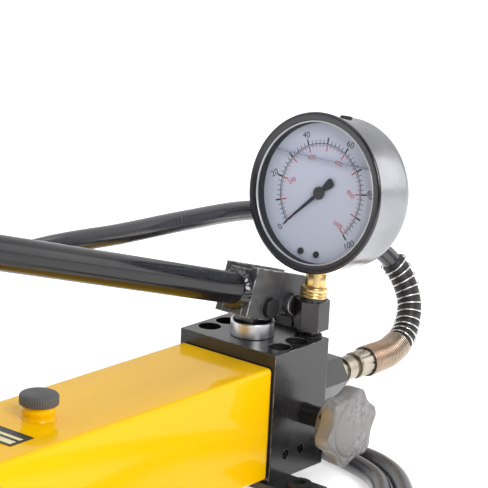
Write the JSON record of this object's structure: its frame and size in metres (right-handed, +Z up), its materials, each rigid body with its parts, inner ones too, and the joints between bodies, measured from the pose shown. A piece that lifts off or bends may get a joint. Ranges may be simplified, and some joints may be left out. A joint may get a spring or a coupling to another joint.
{
  "type": "hydraulic hand pump",
  "caption": "Lever-operated hydraulic hand pump with a square oil tank, pump block, round pressure gauge, release knob and a high-pressure hose with a quick coupler.",
  "frame": {"origin": "centre of the four base holes, at floor level under the rubber bushes", "axes": "+X along the tank towards the pump block and gauge, +Z up, the release knob faces -Y"},
  "size_m": [0.6004, 0.3783, 0.2614],
  "materials": {
    "block_black": "satin",
    "black_oxide": "satin",
    "dark_steel": "satin",
    "yoke_paint": "semi-gloss",
    "strap_paint": "satin",
    "grip_rubber": "matte",
    "seal_rubber": "matte",
    "polished_steel": "polished",
    "plain_steel": "satin",
    "tank_yellow": "gloss",
    "cap_black": "satin",
    "brass": "satin",
    "plate_black": "satin",
    "copper": "satin",
    "copper_wire": "satin",
    "spring_wire": "satin",
    "zinc_plate": "satin",
    "hose_rubber": "satin",
    "case_chrome": "polished",
    "bezel_black": "semi-gloss",
    "window": "clear",
    "dial_white": "matte",
    "pointer_black": "matte",
    "cast_grey": "rough cast"
  },
  "bodies": {
    "pump_frame": {"pump_block": "block_black", "block_screws": "black_oxide", "valve_screws": "black_oxide", "gland_ring": "polished_steel", "piston_seal": "seal_rubber", "suction_valve": "plain_steel", "discharge_valve": "plain_steel", "tank": "tank_yellow", "tank_gaskets": "seal_rubber", "tank_end": "block_black", "tie_rod": "plain_steel", "tie_nut": "plain_steel", "filler_neck": "tank_yellow", "suction_pipe": "brass", "strainer": "brass", "top_plate": "plate_black", "front_foot": "strap_paint", "rear_foot": "strap_paint", "foot_screws": "plain_steel", "foot_bushes": "seal_rubber", "link_lug": "block_black", "lug_screws": "black_oxide", "pin_c": "plain_steel", "outlet_washer": "copper", "outlet_adapter": "block_black", "hose_nipple": "zinc_plate", "hose_ferrule": "zinc_plate", "guard_coil": "copper_wire", "guard_spring": "spring_wire", "hose": "hose_rubber", "coupler_ferrule": "zinc_plate", "coupler_body": "plain_steel", "gauge_adapter": "block_black", "adapter_seal": "seal_rubber", "gauge_stem": "brass", "gauge_case": "case_chrome", "gauge_bezel": "bezel_black", "gauge_glass": "window", "gauge_dial": "dial_white", "dial_screws": "black_oxide", "gauge_movement": "brass", "bourdon_tube": "brass", "vent_plug": "seal_rubber", "release_gland": "black_oxide", "release_ball": "plain_steel"},
    "handle": {"yoke_plates": "yoke_paint", "yoke_web": "yoke_paint", "pin_a": "plain_steel", "handle_tube": "yoke_paint", "weld_beads": "yoke_paint", "grip": "grip_rubber"},
    "links": {"link_plates": "dark_steel", "pin_b": "plain_steel"},
    "plunger": {"piston": "dark_steel"},
    "release_valve": {"release_knob": "cast_grey", "release_spindle": "plain_steel"},
    "pointer": {"gauge_pointer": "pointer_black"},
    "filler_plug": {"filler_cap": "cap_black", "dipstick": "plain_steel"},
    "sleeve": {"coupler_sleeve": "plain_steel"}
  },
  "joints": [
    {"name": "link_swing", "type": "hinge", "parent": "pump_frame", "child": "links", "pos_m": [0.231, 0, 0.097], "axis": [0, 1, 0], "range_deg": [-3.7, 1.1]},
    {"name": "handle_pivot", "type": "hinge", "parent": "links", "child": "handle", "pos_m": [0.21, 0, 0.115], "axis": [0, 1, 0], "range_deg": [-6, 23]},
    {"name": "piston_stroke", "type": "slide", "parent": "pump_frame", "child": "plunger", "axis": [0, 0, 1], "range_m": [-0.0017, 0.0059]},
    {"name": "release_turn", "type": "hinge", "parent": "pump_frame", "child": "release_valve", "pos_m": [0.1976, -0.07, 0.0484], "axis": [0, -1, 0], "range_deg": [0, 350]},
    {"name": "pointer_turn", "type": "hinge", "parent": "pump_frame", "child": "pointer", "pos_m": [0.22545, -0.029, 0.19014], "axis": [0.9877, 0, -0.1564], "range_deg": [0, 270]},
    {"name": "filler_lift", "type": "slide", "parent": "pump_frame", "child": "filler_plug", "axis": [0, 0, 1], "range_m": [0, 0.04]},
    {"name": "sleeve_slide", "type": "slide", "parent": "pump_frame", "child": "sleeve", "axis": [0, -1, 0], "range_m": [0, 0.0035]}
  ],
  "couplings": [
    {"joint": "link_swing", "follows": "handle_pivot", "ratio": -0.153},
    {"joint": "piston_stroke", "follows": "handle_pivot", "m_per_rad": 0.0142}
  ]
}
